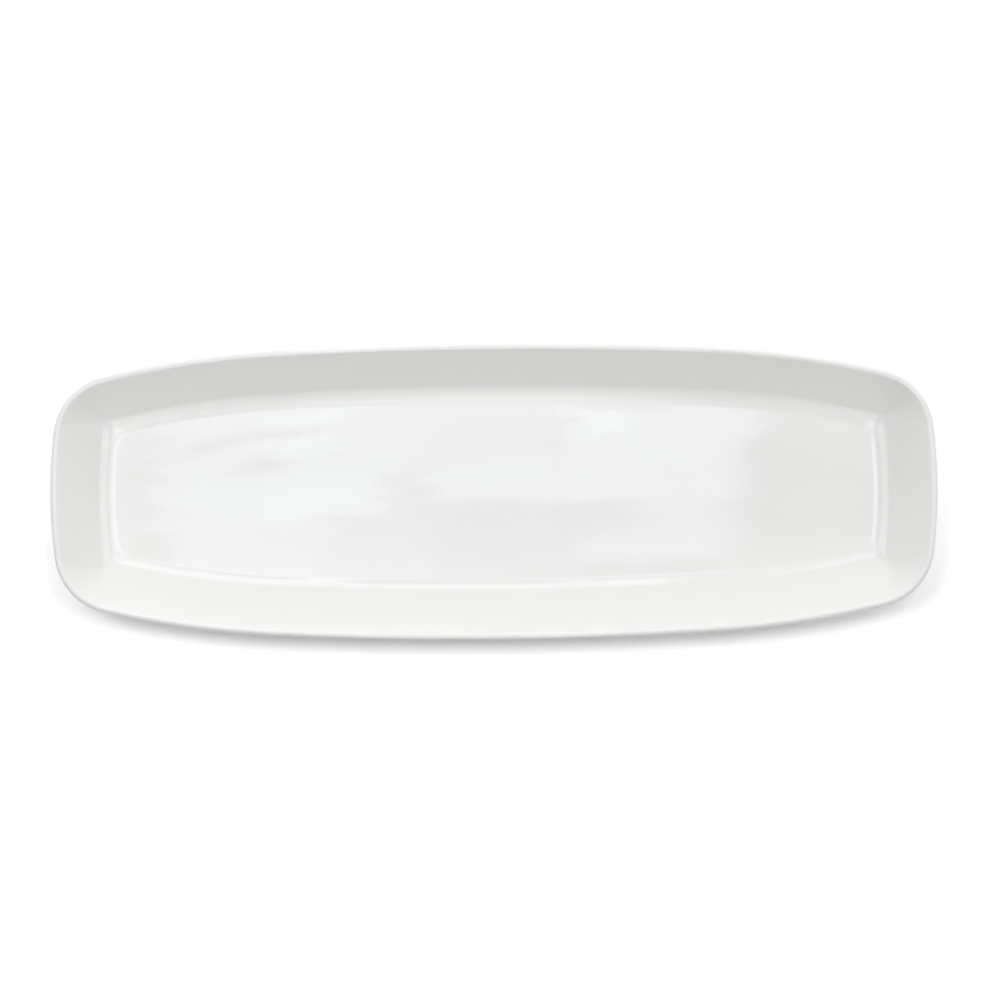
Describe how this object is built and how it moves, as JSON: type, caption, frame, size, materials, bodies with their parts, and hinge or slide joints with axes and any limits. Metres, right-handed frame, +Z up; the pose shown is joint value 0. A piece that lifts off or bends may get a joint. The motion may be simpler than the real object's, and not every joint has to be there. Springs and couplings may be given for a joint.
{
  "type": "asparagus plate",
  "caption": "Long white porcelain serving platter with barrel-shaped sides, sloping walls, a flat floor and a rounded lip, standing on an integral foot ring.",
  "frame": {"origin": "middle of the plane that the foot ring stands on", "axes": "+X along the platter's length, +Y across it, +Z up out of the well"},
  "size_m": [0.38, 0.127, 0.027],
  "materials": {
    "biscuit": "matte",
    "glaze": "gloss"
  },
  "bodies": {
    "root": {"porcelain_body": "biscuit", "outer_glaze": "glaze", "base_glaze": "glaze"}
  },
  "joints": []
}
